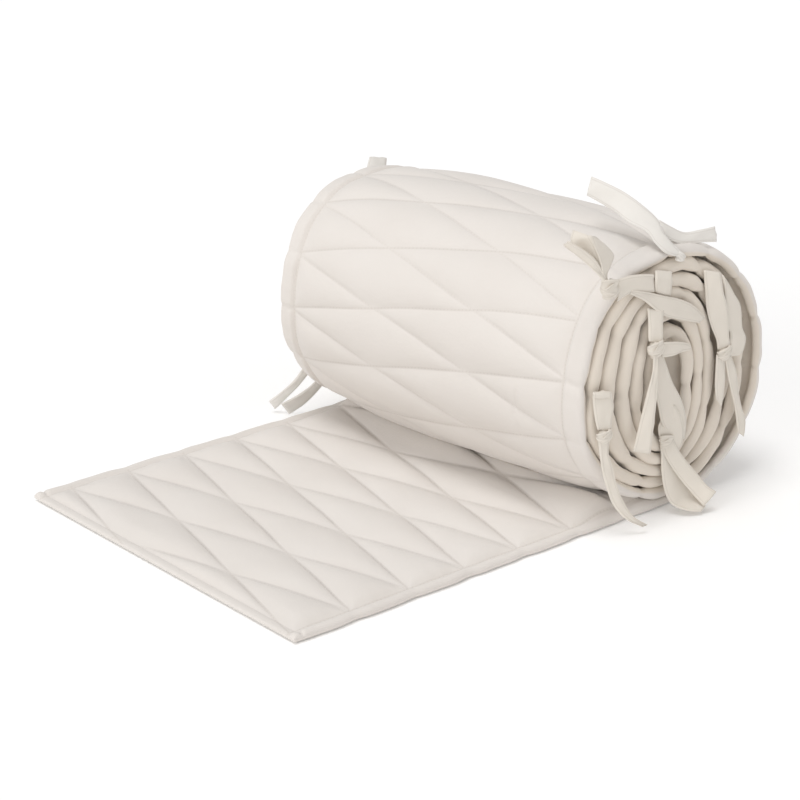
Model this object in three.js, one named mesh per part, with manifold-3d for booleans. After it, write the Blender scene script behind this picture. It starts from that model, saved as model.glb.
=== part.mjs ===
// A quilted crib bumper, partly unrolled: a flat tail that runs under a roll of five turns.
// Millimetres, +X from the tail's free end towards the roll, +Y to the far long edge, +Z up.
import * as THREE from "three";
import Module from "manifold-3d";

const wasm = await Module();
wasm.setup();
const { Manifold, Mesh } = wasm;

// The quilted strip.
const STRIP_WIDTH = 308;
const NEAR_EDGE = -2;
const TAIL_START = -5;
const PUFF_HALF = 3.5;
const PLAIN_HALF = 3.3;
const SEAM_HALF = 1.7;
const LIP_HALF = 1.3;
const HEM_HALF = 2.7;
const HEM_PUFF = 3;
const HEM_SEAM = 10;
const END_SEAM = 8;
const EDGE_PINCH = 1.3;

// The quilting: diamonds whose seams cross the strip one and a half pitches to the side. The roll's
// outside is longer than its middle line, so along that line its diamonds stand closer.
const PITCH = 50;
const ROLL_PITCH = 42;
const ROLL_PITCH_START = 352;
const FIRST_APEX = 2;
const LATTICE_ROWS = 6;
const STEPS_PER_PITCH = 4;

// The roll's far end lies nearer to the tail's free end than its near end.
const ROLL_SKEW = 22;
const SKEW_START = 270;
const SKEW_LENGTH = 80;

// A row for each turn: heights of its lowest and highest middle line, its middle line's right and
// left reach, the x and z where those meet, and how far the turn stands out at the near end.
const TURNS = [
  { bottom: 3.5, right: 431.5, top: 191.5, left: 247.5, x: 333, z: 92, out: 0 },
  { bottom: 12.1, right: 407.8, top: 181.1, left: 257.5, x: 332, z: 92, out: 1 },
  { bottom: 22.2, right: 391.5, top: 172.4, left: 271.6, x: 330, z: 93, out: 3 },
  { bottom: 31.6, right: 371.5, top: 163.4, left: 286.0, x: 328, z: 94, out: 5 },
  { bottom: 40.6, right: 360.8, top: 150.5, left: 297.5, x: 327, z: 95, out: 6 },
  { bottom: 49.6, right: 350.6, top: 136.5, left: 311.0, x: 328, z: 96, out: 6 },
];
const FLAP_BOTTOM = 66;

// How full each quarter of a turn is: 2 is an ellipse, more is squarer, less is straighter.
// The hems are thinner than the padding, so the roll is fuller halfway along than at its ends.
const AT_ENDS = { lowRight: 2.1, highRight: 2.0, highLeft: 2.4, lowLeft: 1.75 };
const HALFWAY = { lowRight: 2.1, highRight: 2.1, highLeft: 2.4, lowLeft: 2.35 };
const SWELL = { right: 9, top: 9, left: 5 };
const SWELL_POWER = 3;

// Where the raised quilting shows on each face, measured along the strip.
const TOP_QUILT_END = 330;
const OUTER_QUILT_START = 380;
const QUILT_FADE = 25;
const OUTER_TURN_END = 925;

// The ties: flat ribbons of the same cloth. Each tie's seat moves it along y to lie on the hems.
const TIE_WIDE = 12;
const TIE_THICK = 1.2;
const TIE_STEPS = 7;

const CLOTH = { color: 0xece3da, roughness: 0.95, metalness: 0 };

function clamp01(t) {
  return Math.min(1, Math.max(0, t));
}

function smooth(t) {
  const c = clamp01(t);
  return c * c * (3 - 2 * c);
}

// A quarter of a turn, from one point where it is level or upright to the next.
function quarter(list, centre, startAngle, reachX, reachZ, fullness) {
  const steps = 60;
  for (let i = 0; i < steps; i += 1) {
    const angle = startAngle + (i / steps) * Math.PI / 2;
    const c = Math.cos(angle);
    const s = Math.sin(angle);
    const x = Math.sign(c) * Math.pow(Math.abs(c), 2 / fullness) * reachX;
    const z = Math.sign(s) * Math.pow(Math.abs(s), 2 / fullness) * reachZ;
    list.push({ x: centre.x + x, z: centre.z + z, turn: 0 });
  }
}

// The strip's middle line as fine points, each with the turn that it lies in.
function middleLine(full, swell) {
  const list = [];
  for (let x = TAIL_START; x < TURNS[0].x; x += 1) {
    list.push({ x, z: TURNS[0].bottom, turn: 0 });
  }
  TURNS.forEach((row, k) => {
    const start = list.length;
    const centre = { x: row.x, z: row.z };
    const next = TURNS[k + 1];
    const share = swell * (1 - k / TURNS.length);
    const right = row.right - row.x + SWELL.right * share;
    const up = row.top - row.z + SWELL.top * share;
    const left = row.x - row.left + SWELL.left * share;
    quarter(list, centre, -Math.PI / 2, right, row.z - row.bottom, full.lowRight);
    quarter(list, centre, 0, right, up, full.highRight);
    quarter(list, centre, Math.PI / 2, left, up, full.highLeft);
    if (next) {
      const low = { x: next.x, z: row.z };
      quarter(list, low, Math.PI, next.x - row.x + left, row.z - next.bottom, full.lowLeft);
    } else {
      for (let z = row.z; z > FLAP_BOTTOM; z -= 1) {
        list.push({ x: row.left, z, turn: 0 });
      }
    }
    const count = list.length - start;
    for (let i = start; i < list.length; i += 1) {
      list[i].turn = k + (i - start) / count;
    }
  });
  let length = 0;
  list.forEach((p, i) => {
    if (i > 0) {
      length += Math.hypot(p.x - list[i - 1].x, p.z - list[i - 1].z);
    }
    p.s = length;
  });
  return list;
}

const END_LINE = middleLine(AT_ENDS, 0);
const HALFWAY_LINE = middleLine(HALFWAY, 1);
const STRIP_LENGTH = END_LINE[END_LINE.length - 1].s;

// One line's point, direction and turn, a share of the way to its fine point i.
function pointOn(line, i, t) {
  const a = line[i - 1];
  const b = line[i];
  const before = line[Math.max(0, i - 5)];
  const after = line[Math.min(line.length - 1, i + 4)];
  const dx = after.x - before.x;
  const dz = after.z - before.z;
  const size = Math.hypot(dx, dz);
  return {
    x: a.x + (b.x - a.x) * t,
    z: a.z + (b.z - a.z) * t,
    turn: a.turn + (b.turn - a.turn) * t,
    dx: dx / size,
    dz: dz / size,
  };
}

// The middle line at a length along the strip, at the roll's ends and halfway between them.
function station(s) {
  let i = 1;
  while (i < END_LINE.length - 1 && END_LINE[i].s < s) {
    i += 1;
  }
  const t = clamp01((s - END_LINE[i - 1].s) / (END_LINE[i].s - END_LINE[i - 1].s));
  return { s, ends: pointOn(END_LINE, i, t), halfway: pointOn(HALFWAY_LINE, i, t) };
}

// How far a turn stands out at the near end, between the rows of the table.
function standOut(turn) {
  const k = Math.min(TURNS.length - 1, Math.floor(turn));
  const next = Math.min(TURNS.length - 1, k + 1);
  return TURNS[k].out + (TURNS[next].out - TURNS[k].out) * clamp01(turn - k);
}

// The lengths along the strip where its cross rows of points stand.
function stationLengths() {
  const list = [0, 3, END_SEAM];
  const step = PITCH / STEPS_PER_PITCH;
  const rollStep = ROLL_PITCH / STEPS_PER_PITCH;
  let s = FIRST_APEX + step;
  while (s < OUTER_TURN_END) {
    list.push(s);
    s += s < ROLL_PITCH_START ? step : rollStep;
  }
  while (s < STRIP_LENGTH - 8) {
    list.push(s);
    const a = station(s).ends;
    const b = station(s + 4).ends;
    const bend = Math.acos(Math.min(1, a.dx * b.dx + a.dz * b.dz)) / 4;
    s += Math.min(step, Math.max(3.5, 0.3 / Math.max(bend, 0.001)));
  }
  list.push(STRIP_LENGTH - 3);
  list.push(STRIP_LENGTH);
  return list;
}

// The rows across the strip. A plain face leaves out the rows between the two hem seams.
const EDGE_ROWS = [0, HEM_PUFF, HEM_SEAM];
const LATTICE = STRIP_WIDTH - 2 * HEM_SEAM;

function rowsAcross(dense) {
  const rows = EDGE_ROWS.map((y) => ({ y, j: 0 }));
  if (dense) {
    for (let j = 1; j < LATTICE_ROWS; j += 1) {
      rows.push({ y: HEM_SEAM + (LATTICE * j) / LATTICE_ROWS, j });
    }
  }
  [...EDGE_ROWS].reverse().forEach((y) => rows.push({ y: STRIP_WIDTH - y, j: LATTICE_ROWS }));
  return rows;
}

function modulo(a, n) {
  return ((a % n) + n) % n;
}

// How puffed the cloth is at a lattice point: 0 on a seam, 1 in the middle of a diamond.
function puff(column, j) {
  const a = modulo(column - j, STEPS_PER_PITCH);
  const b = modulo(column + j, STEPS_PER_PITCH);
  if (a === 0 || b === 0) {
    return 0;
  }
  return a === 2 && b === 2 ? 1 : 0.72;
}

// How drawn in a long edge is: 1 where two seams meet it, 0 halfway between.
function pinch(s, farEdge) {
  const onTail = Math.min(s, ROLL_PITCH_START);
  const diamonds = (onTail - FIRST_APEX) / PITCH + (s - onTail) / ROLL_PITCH;
  return 0.5 + 0.5 * Math.cos(2 * Math.PI * (diamonds - (farEdge ? 0.5 : 0)));
}

// Half the strip's thickness at one point of one face.
function halfThickness(s, column, row, relief, flat) {
  const edge = Math.min(row.y, STRIP_WIDTH - row.y);
  const far = row.y > STRIP_WIDTH / 2;
  const endLip = Math.min(s, STRIP_LENGTH - s);
  if (edge === 0 || endLip === 0) {
    return LIP_HALF - 0.4 * pinch(s, far);
  }
  if (flat) {
    return PUFF_HALF;
  }
  if (edge === HEM_PUFF || endLip <= 3) {
    return HEM_HALF - 0.8 * pinch(s, far);
  }
  if (edge === HEM_SEAM || s === END_SEAM) {
    return SEAM_HALF + 0.5;
  }
  const quilted = SEAM_HALF + (PUFF_HALF - SEAM_HALF) * puff(column, row.j);
  return PLAIN_HALF + (quilted - PLAIN_HALF) * relief;
}

// One face's points across the strip at one station.
function faceRow(at, column, side, dense, relief, flat) {
  return rowsAcross(dense).map((row) => {
    const h = side * halfThickness(at.s, column, row, relief, flat);
    const far = row.y > STRIP_WIDTH / 2;
    const edge = Math.min(row.y, STRIP_WIDTH - row.y);
    const drawn = edge < HEM_SEAM ? EDGE_PINCH * pinch(at.s, far) * (far ? -1 : 1) : 0;
    const across = row.y / STRIP_WIDTH;
    const skew = ROLL_SKEW * across * smooth((at.s - SKEW_START) / SKEW_LENGTH);
    const half = 1 - Math.pow(Math.abs(2 * across - 1), SWELL_POWER);
    const mix = (a, b) => a + (b - a) * half;
    return {
      x: mix(at.ends.x - at.ends.dz * h, at.halfway.x - at.halfway.dz * h) - skew,
      y: NEAR_EDGE + row.y + drawn - standOut(at.ends.turn),
      z: mix(at.ends.z + at.ends.dx * h, at.halfway.z + at.halfway.dx * h),
      y0: row.y,
      j: row.j,
    };
  });
}

// Triangles between two neighbouring chains of points, with the seams along their edges.
function bridge(out, a, b, columnA, lattice) {
  let i = 0;
  let k = 0;
  while (i < a.length - 1 || k < b.length - 1) {
    const same = i < a.length - 1 && k < b.length - 1 && a[i].y0 === b[k].y0
      && a[i + 1].y0 === b[k + 1].y0;
    if (same) {
      const j = a[i].j;
      const rising = modulo(columnA - j, STEPS_PER_PITCH) === 0
        || (modulo(columnA + 1 + j, STEPS_PER_PITCH) !== 0 && modulo(columnA - j, 2) === 0);
      if (rising && lattice) {
        out.push([a[i], b[k], b[k + 1]], [a[i], b[k + 1], a[i + 1]]);
      } else {
        out.push([a[i], b[k], a[i + 1]], [b[k], b[k + 1], a[i + 1]]);
      }
      i += 1;
      k += 1;
    } else if (k === b.length - 1 || (i < a.length - 1 && a[i + 1].y0 <= b[k + 1].y0)) {
      out.push([a[i], b[k], a[i + 1]]);
      i += 1;
    } else {
      out.push([a[i], b[k], b[k + 1]]);
      k += 1;
    }
  }
}

function flipped(triangles) {
  return triangles.map(([a, b, c]) => [a, c, b]);
}

// A mesh's geometry from triangles of shared points.
function geometryFrom(triangles) {
  const index = new Map();
  const positions = [];
  const indices = [];
  triangles.forEach((triangle) => {
    triangle.forEach((p) => {
      if (!index.has(p)) {
        index.set(p, positions.length / 3);
        positions.push(p.x, p.y, p.z);
      }
      indices.push(index.get(p));
    });
  });
  const geometry = new THREE.BufferGeometry();
  geometry.setAttribute("position", new THREE.Float32BufferAttribute(positions, 3));
  geometry.setIndex(indices);
  return geometry;
}

function bumperGeometry() {
  const lengths = stationLengths();
  const columns = lengths.map((s, i) => {
    const at = station(s);
    const column = i - 2;
    const onTail = s < TOP_QUILT_END;
    const outerQuilted = s > OUTER_QUILT_START && s < OUTER_TURN_END;
    const topRelief = smooth((TOP_QUILT_END - s) / QUILT_FADE);
    const outerRelief = smooth((s - OUTER_QUILT_START) / QUILT_FADE)
      * smooth((OUTER_TURN_END - s) / QUILT_FADE);
    return {
      column,
      inner: faceRow(at, column, 1, onTail, topRelief, false),
      outer: faceRow(at, column, -1, outerQuilted, outerRelief, at.ends.dz === 0),
    };
  });
  const triangles = [];
  for (let i = 0; i < columns.length - 1; i += 1) {
    const a = columns[i];
    const b = columns[i + 1];
    const inner = [];
    const outer = [];
    bridge(inner, a.inner, b.inner, a.column, true);
    bridge(outer, a.outer, b.outer, a.column, true);
    triangles.push(...inner, ...flipped(outer));
    const near = [a.outer[0], b.outer[0], b.inner[0], a.inner[0]];
    const far = [a.outer, b.outer, b.inner, a.inner].map((chain) => chain[chain.length - 1]);
    triangles.push([near[0], near[1], near[2]], [near[0], near[2], near[3]]);
    triangles.push([far[0], far[2], far[1]], [far[0], far[3], far[2]]);
  }
  const first = columns[0];
  const last = columns[columns.length - 1];
  const startCap = [];
  const endCap = [];
  bridge(startCap, first.outer, first.inner, 0, false);
  bridge(endCap, last.outer, last.inner, 0, false);
  triangles.push(...startCap, ...flipped(endCap));
  return geometryFrom(triangles);
}

// Between three and manifold-3d.
function toManifold(geometry) {
  const mesh = new Mesh({
    numProp: 3,
    vertProperties: new Float32Array(geometry.attributes.position.array),
    triVerts: new Uint32Array(geometry.index.array),
  });
  mesh.merge();
  return new Manifold(mesh);
}

function fromManifold(solid) {
  const mesh = solid.getMesh();
  const geometry = new THREE.BufferGeometry();
  geometry.setAttribute("position", new THREE.BufferAttribute(mesh.vertProperties, 3));
  geometry.setIndex(new THREE.BufferAttribute(mesh.triVerts, 1));
  return geometry;
}

// A flat ribbon along a bent line. Its turn is the angle from broad side on to edge on.
function ribbon(row) {
  const [from, via, to] = [row.from, row.via, row.to].map((p) => new THREE.Vector3(...p));
  const path = new THREE.QuadraticBezierCurve3(from, via, to);
  const wide = row.wide ?? [TIE_WIDE, TIE_WIDE];
  const turn = row.turn ?? [0, 0];
  const front = new THREE.Vector3(0, -1, 0);
  const rings = [];
  for (let i = 0; i <= TIE_STEPS; i += 1) {
    const t = i / TIE_STEPS;
    const p = path.getPoint(t);
    const along = path.getTangent(t).normalize();
    const across = new THREE.Vector3().crossVectors(along, front).normalize();
    across.applyAxisAngle(along, THREE.MathUtils.degToRad(turn[0] + (turn[1] - turn[0]) * t));
    const up = new THREE.Vector3().crossVectors(across, along).normalize();
    const half = (wide[0] + (wide[1] - wide[0]) * t) / 2;
    const corner = (a, b) => p.clone().addScaledVector(across, a * half)
      .addScaledVector(up, (b * TIE_THICK) / 2);
    rings.push([corner(-1, -1), corner(1, -1), corner(1, 1), corner(-1, 1)]);
  }
  const triangles = [];
  for (let i = 0; i < TIE_STEPS; i += 1) {
    for (let k = 0; k < 4; k += 1) {
      const [a, b] = [rings[i][k], rings[i][(k + 1) % 4]];
      const [c, d] = [rings[i + 1][(k + 1) % 4], rings[i + 1][k]];
      triangles.push([a, b, c], [a, c, d]);
    }
  }
  const [first, last] = [rings[0], rings[TIE_STEPS]];
  triangles.push([first[0], first[2], first[1]], [first[0], first[3], first[2]]);
  triangles.push([last[0], last[1], last[2]], [last[0], last[2], last[3]]);
  return toManifold(geometryFrom(flipped(triangles)));
}

// A pulled-tight knot: a small flattened lump.
function knot(row) {
  const geometry = new THREE.SphereGeometry(1, 10, 6);
  geometry.scale(row.size[0] / 2, row.size[1] / 2, row.size[2] / 2);
  geometry.translate(...row.at);
  const plain = new THREE.BufferGeometry();
  plain.setAttribute("position", geometry.attributes.position);
  plain.setIndex(geometry.index);
  return toManifold(plain);
}

// A row for each tie, with its knot and its bands. Points are x, y, z.
const TIES = [
  {
    name: "tie_top_rim",
    seat: -1.9,
    knot: { at: [346, -3.2, 193], size: [12, 5, 9] },
    bands: [
      { from: [346, -3, 196], via: [340, 22, 216], to: [309, 60, 230], turn: [50, 10] },
      { from: [344, -3, 197], via: [346, 6, 211], to: [384, 6, 194], turn: [40, 10] },
    ],
  },
  {
    name: "tie_left_rim",
    seat: 0.6,
    knot: { at: [262, -5.5, 183.5], size: [13, 8, 13] },
    bands: [
      { from: [260, -6, 185], via: [240, -8, 198], to: [230, -4, 219], turn: [-20, 20] },
      { from: [262, -6, 186], via: [270, -3, 205], to: [246, -2, 222], turn: [20, 60] },
      { from: [264, -6, 182], via: [290, -9, 184], to: [325, -7.5, 174], turn: [0, 0] },
      { from: [264, -6, 181], via: [302, -18, 166], to: [352, -9, 142], wide: [9, 9] },
    ],
  },
  {
    name: "tie_right_turns",
    seat: -0.3,
    knot: { at: [381, -8, 111], size: [13, 7, 9] },
    bands: [
      { from: [373, -5.5, 171], via: [373, -9, 140], to: [380, -8, 112], wide: [20, 8] },
      { from: [379, -9, 111], via: [372, -12, 92], to: [377, -12, 70], wide: [6, 8] },
      { from: [383, -9, 110], via: [393, -12, 86], to: [403, -8, 45], wide: [7, 13] },
    ],
  },
  {
    name: "tie_core",
    seat: -1.75,
    knot: { at: [304, -11.5, 134.5], size: [12, 7, 9] },
    bands: [
      { from: [308, -8.5, 152], via: [307, -9.5, 144], to: [304, -11, 135], wide: [12, 9] },
      { from: [305, -12, 134], via: [328, -15, 138], to: [346, -9.5, 120], wide: [12, 9] },
      { from: [304, -12, 133], via: [306, -18, 100], to: [291, -16, 60], wide: [7, 12] },
      { from: [306, -12, 132], via: [320, -15, 98], to: [339, -11, 56], turn: [60, 75] },
    ],
  },
  {
    name: "tie_low_turns",
    seat: -0.6,
    knot: { at: [322, -9.5, 58], size: [13, 6, 11] },
    bands: [
      { from: [323, -10, 57], via: [341, -14, 32], to: [359, -23, 6], wide: [13, 14] },
      { from: [321, -10, 57], via: [324, -12, 20], to: [338, -21, 4.5], turn: [0, 10] },
    ],
  },
  {
    name: "tie_left_turns",
    seat: -2,
    knot: { at: [264, -6.5, 69], size: [11, 8, 15] },
    bands: [
      { from: [263, -7, 70], via: [262, -7.5, 88], to: [262.5, -6, 104] },
      { from: [265, -7, 67], via: [271, -11, 20], to: [292, -18, 5.6], turn: [0, 15] },
    ],
  },
  {
    name: "tie_far_top",
    seat: -2.2,
    bands: [
      { from: [316, 308.5, 184], via: [317, 308.5, 192], to: [324, 308.5, 200], wide: [13, 13] },
    ],
  },
  {
    name: "tie_far_low",
    seat: -4.2,
    knot: { at: [256, 309.5, 44], size: [9, 4, 9] },
    bands: [
      { from: [256, 310, 44], via: [246, 320, 36], to: [240, 345, 5], wide: [8, 8], turn: [0, 40] },
      { from: [257, 310, 43], via: [260, 318, 22], to: [240, 329, 5], wide: [8, 8] },
    ],
  },
];

function tieGeometry(row) {
  const pieces = row.bands.map(ribbon);
  if (row.knot) {
    pieces.push(knot(row.knot));
  }
  return fromManifold(Manifold.union(pieces).translate([0, row.seat, 0]));
}

const group = new THREE.Group();
group.name = "crib_bumper";

function add(name, geometry) {
  const mesh = new THREE.Mesh(geometry, new THREE.MeshStandardMaterial(CLOTH));
  mesh.name = name;
  group.add(mesh);
  return mesh;
}

add("quilted_strip", bumperGeometry());
TIES.forEach((row) => add(row.name, tieGeometry(row)));

// The origin: the middle of the underside of the box round the whole part.
const box = new THREE.Box3().setFromObject(group);
const shift = [-(box.min.x + box.max.x) / 2, -(box.min.y + box.max.y) / 2, -box.min.z];
group.children.forEach((mesh) => {
  mesh.geometry.translate(...shift);
  mesh.geometry.computeVertexNormals();
});

export default group;
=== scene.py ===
# %% [markdown]
# A crib bumper, partly unrolled. The real one is a strip of two cotton cloths with soft
# wadding between them. It is quilted in long diamonds, hemmed all round, and has narrow ties
# of the same cloth along its edges. Here a flat tail lies on the table and runs under the roll.
# The CAD frame comes first, because every piece below takes its place from it.

import math

import bpy
import numpy as np
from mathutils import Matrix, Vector


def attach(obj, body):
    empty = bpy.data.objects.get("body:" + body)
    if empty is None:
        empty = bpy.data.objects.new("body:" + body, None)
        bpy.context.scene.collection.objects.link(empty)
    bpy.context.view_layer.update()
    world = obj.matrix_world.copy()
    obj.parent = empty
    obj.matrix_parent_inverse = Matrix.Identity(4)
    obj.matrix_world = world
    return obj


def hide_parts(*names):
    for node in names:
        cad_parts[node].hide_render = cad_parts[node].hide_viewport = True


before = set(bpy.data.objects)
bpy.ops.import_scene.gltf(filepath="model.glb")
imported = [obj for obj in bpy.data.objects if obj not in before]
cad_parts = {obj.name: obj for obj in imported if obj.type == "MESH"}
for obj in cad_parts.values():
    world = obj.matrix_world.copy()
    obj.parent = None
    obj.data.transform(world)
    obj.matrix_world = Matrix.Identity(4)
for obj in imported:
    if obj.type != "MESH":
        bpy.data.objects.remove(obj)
bpy.ops.object.select_all(action="DESELECT")
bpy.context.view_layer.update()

MM = 0.001
# The strip's own measuring frame starts near the tail's free end. This moves it to the part's.
TO_PART = np.array([-215.9, -159.5, 0.0])


# %% [markdown]
# The camera stands where the photograph's stood: a long lens, a little above the roll, looking
# across the tail at the rolled end. A long lens keeps the diamonds nearly the same size from
# front to back.

# %% The camera
CAMERA_AT = (-1.0232, -1.1951, 0.6619)
CAMERA_HEADING = -40.7
CAMERA_DOWN = 20.76
LENS = 103.5

bpy.ops.object.camera_add(
    location=CAMERA_AT,
    rotation=(math.radians(90 - CAMERA_DOWN), 0, math.radians(CAMERA_HEADING)),
)
camera = bpy.context.object
camera.name = "camera"
camera.data.lens = LENS
camera.data.sensor_width = 36
bpy.context.scene.camera = camera


# %% [markdown]
# Colours are written as a picture editor shows them, in sRGB hex. Blender's sockets want linear
# light, so one function turns them. Another adds a shader node with its settings and its links,
# which keeps each material short enough to read.

# %% Colours and nodes
def colour(text):
    """A linear RGBA colour from six sRGB hex digits."""
    parts = [int(text[i:i + 2], 16) / 255 for i in (0, 2, 4)]
    linear = [p / 12.92 if p <= 0.04045 else ((p + 0.055) / 1.055) ** 2.4 for p in parts]
    return (*linear, 1.0)


def add(tree, kind, feeds=None, **settings):
    """One shader node. Each feed is an input's name or number with a value or a socket."""
    node = tree.nodes.new(kind)
    for key, value in settings.items():
        setattr(node, key, value)
    for key, value in (feeds or {}).items():
        if isinstance(value, bpy.types.NodeSocket):
            tree.links.new(value, node.inputs[key])
        else:
            node.inputs[key].default_value = value
    return node


def new_material(name):
    """An empty material's node tree, with its output."""
    material = bpy.data.materials.new(name)
    material.use_nodes = True
    tree = material.node_tree
    tree.nodes.clear()
    output = tree.nodes.new("ShaderNodeOutputMaterial")
    return material, tree, output


# %% [markdown]
# The studio: a white floor and large soft lights. The photograph has almost no shadow, only a
# soft dark line where the cloth touches the table, so the lights are big and the surroundings
# are bright. The key light comes from the left, so the rolled end on the right is darker. The
# floor is wide enough to fill the view, and lies a little under the cloth, so that the two
# faces never share a plane.

# %% The floor and the lights
FLOOR_SIZE = 60
FLOOR_DROP = 0.4 * MM
SURROUNDINGS = 0.54

bpy.ops.mesh.primitive_plane_add(size=FLOOR_SIZE, location=(0, 0, -FLOOR_DROP))
floor = bpy.context.object
floor.name = "studio_floor"
material, tree, output = new_material("matt studio paper")
paper = add(
    tree,
    "ShaderNodeBsdfPrincipled",
    {"Base Color": colour("FEFEFE"), "Roughness": 0.9, "Specular IOR Level": 0.1,
     "Emission Color": colour("FFFFFF"), "Emission Strength": 0.06},
)
tree.links.new(paper.outputs["BSDF"], output.inputs["Surface"])
floor.data.materials.append(material)

world = bpy.data.worlds.new("studio surroundings")
bpy.context.scene.world = world
world.use_nodes = True
background = world.node_tree.nodes["Background"]
background.inputs["Color"].default_value = colour("FFFFFF")
background.inputs["Strength"].default_value = SURROUNDINGS
bpy.context.scene.view_settings.view_transform = "Standard"

# A row for each sun: name, the way it comes from, how soft its edge is, its strength and colour.
SUNS = [
    ("key_light", (-0.9, -0.08, 0.42), 28, 0.5, "FFFFFF"),
    ("low_fill", (-0.95, -0.28, 0.16), 40, 0.4, "FFF6EC"),
    ("front_fill", (0.7, -1.0, 0.4), 70, 0.18, "FFE8D0"),
    ("top_light", (-0.25, 0.0, 1.0), 30, 1.1, "FFFFFF"),
]
for name, comes_from, softness, strength, tint in SUNS:
    facing = Vector(comes_from).to_track_quat("Z", "Y").to_euler()
    bpy.ops.object.light_add(type="SUN", location=comes_from, rotation=facing)
    light = bpy.context.object
    light.name = name
    light.data.angle = math.radians(softness)
    light.data.energy = strength
    light.data.color = colour(tint)[:3]


# %% [markdown]
# The strip's middle line, seen from its end, is a straight run and then a spiral. A spline
# drawn by eye would do, but a short table is easier to correct against a photograph: each turn
# is four quarter curves that meet where the strip is level or upright. The hems are thinner
# than the padding, so the roll is fuller halfway along than at its ends, and two lines are
# kept: one for the ends and one for halfway.

# %% The spiral's table
STRIP_WIDTH = 308
NEAR_EDGE = -2
TAIL_START = -5
ROLL_SKEW = 22
SKEW_START = 270
SKEW_LENGTH = 80
# bottom, right, top and left of the middle line, the x and z where they meet, and how far the
# turn stands out of the roll's near end
TURNS = np.array([
    [3.5, 431.5, 191.5, 247.5, 333, 92, 0],
    [12.1, 407.8, 181.1, 257.5, 332, 92, 1],
    [22.2, 391.5, 172.4, 271.6, 330, 93, 3],
    [31.6, 371.5, 163.4, 286.0, 328, 94, 5],
    [40.6, 360.8, 150.5, 297.5, 327, 95, 6],
    [49.6, 350.6, 136.5, 311.0, 328, 96, 6],
])
FLAP_BOTTOM = 66
# fullness of the low right, high right, high left and low left quarters: 2 is an ellipse
AT_ENDS = (2.1, 2.0, 2.4, 1.75)
HALFWAY = (2.1, 2.1, 2.4, 2.35)
# how much further the outer turn reaches halfway to the right, up and to the left
FULLER_BY = (9, 9, 5)
QUARTER_POINTS = 60


def quarter(centre, start, reach_x, reach_z, fullness):
    """The points of a quarter turn that starts at an angle in quarter turns."""
    angle = (start + np.arange(QUARTER_POINTS) / QUARTER_POINTS) * math.pi / 2
    c, s = np.cos(angle), np.sin(angle)
    x = np.sign(c) * np.abs(c) ** (2 / fullness) * reach_x
    z = np.sign(s) * np.abs(s) ** (2 / fullness) * reach_z
    return np.stack([centre[0] + x, centre[1] + z], axis=1)


def middle_line(full, fuller):
    """The middle line as x and z, the turn that each point lies in, and where its parts join."""
    tail = np.arange(TAIL_START, TURNS[0][4])
    parts = [np.stack([tail, np.full(len(tail), TURNS[0][0])], axis=1)]
    turns = [np.zeros(len(tail))]
    for k, (bottom, right, top, left, x, z, _) in enumerate(TURNS):
        share = fuller * (1 - k / len(TURNS))
        wide = right - x + FULLER_BY[0] * share
        high = top - z + FULLER_BY[1] * share
        back = x - left + FULLER_BY[2] * share
        run = [
            quarter((x, z), -1, wide, z - bottom, full[0]),
            quarter((x, z), 0, wide, high, full[1]),
            quarter((x, z), 1, back, high, full[2]),
        ]
        if k + 1 < len(TURNS):
            low, low_x = TURNS[k + 1][0], TURNS[k + 1][4]
            run.append(quarter((low_x, z), 2, low_x - x + back, z - low, full[3]))
        else:
            drop = np.arange(z, FLAP_BOTTOM, -1)
            run.append(np.stack([np.full(len(drop), left), drop], axis=1))
        count = sum(len(r) for r in run)
        parts += run
        turns.append(k + np.arange(count) / count)
    joints = np.concatenate([[0], np.cumsum([len(part) for part in parts])])
    joints[-1] -= 1
    return np.concatenate(parts), np.concatenate(turns), joints


END_LINE, TURN_OF, JOINTS = middle_line(AT_ENDS, 0)


def run_of(line):
    """Lengths along a line, from its first point."""
    return np.concatenate([[0], np.cumsum(np.hypot(*np.diff(line, axis=0).T))])


RUN = run_of(END_LINE)
LINE_LENGTH = RUN[-1]


def evened(line, window=61):
    """A line with its points moved along it, so that the strip's columns run straight across."""
    own = run_of(line)
    grid = np.arange(0, LINE_LENGTH)
    lead = np.interp(grid, RUN[JOINTS], own[JOINTS]) - grid
    lead = np.convolve(np.pad(lead, window // 2, mode="edge"), np.ones(window) / window, "valid")
    wanted = RUN + np.interp(RUN, grid, lead)
    return np.stack([np.interp(wanted, own, column) for column in line.T], axis=1)


HALF_LINE = evened(middle_line(HALFWAY, 1)[0])
print(f"The middle line is {LINE_LENGTH:.0f} mm long.")


EVERY = 4
NO_TURN_NEAR = 60


def room(step, window=11):
    """Half the way to the next turn inside (step 1) or outside (-1), along the middle line."""
    line, turn = END_LINE[::EVERY], TURN_OF[::EVERY]
    apart = np.linalg.norm(line[:, None] - line[None, :], axis=2)
    next_turn = np.abs(turn[None, :] - turn[:, None] - step) < 0.4
    nearest = np.where(next_turn, apart, NO_TURN_NEAR).min(axis=1) / 2
    padded = np.pad(nearest, window // 2, mode="edge")
    even = np.convolve(padded, np.ones(window) / window, "valid")
    return np.interp(RUN, RUN[::EVERY], even)


ROOM = {1: room(1), -1: room(-1)}


# %% [markdown]
# Every point of the cloth is placed by three numbers: how far along the cloth it is, how far
# in from the near edge, and how far off the middle line. That is what lets one flat quilting
# pattern follow the tail and the whole roll. The roll's outside is longer than the middle line,
# so there 50 mm of cloth pass for every 42 mm of the line. On the outside the pattern also runs
# a little askew, as it does in the photograph.

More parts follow.
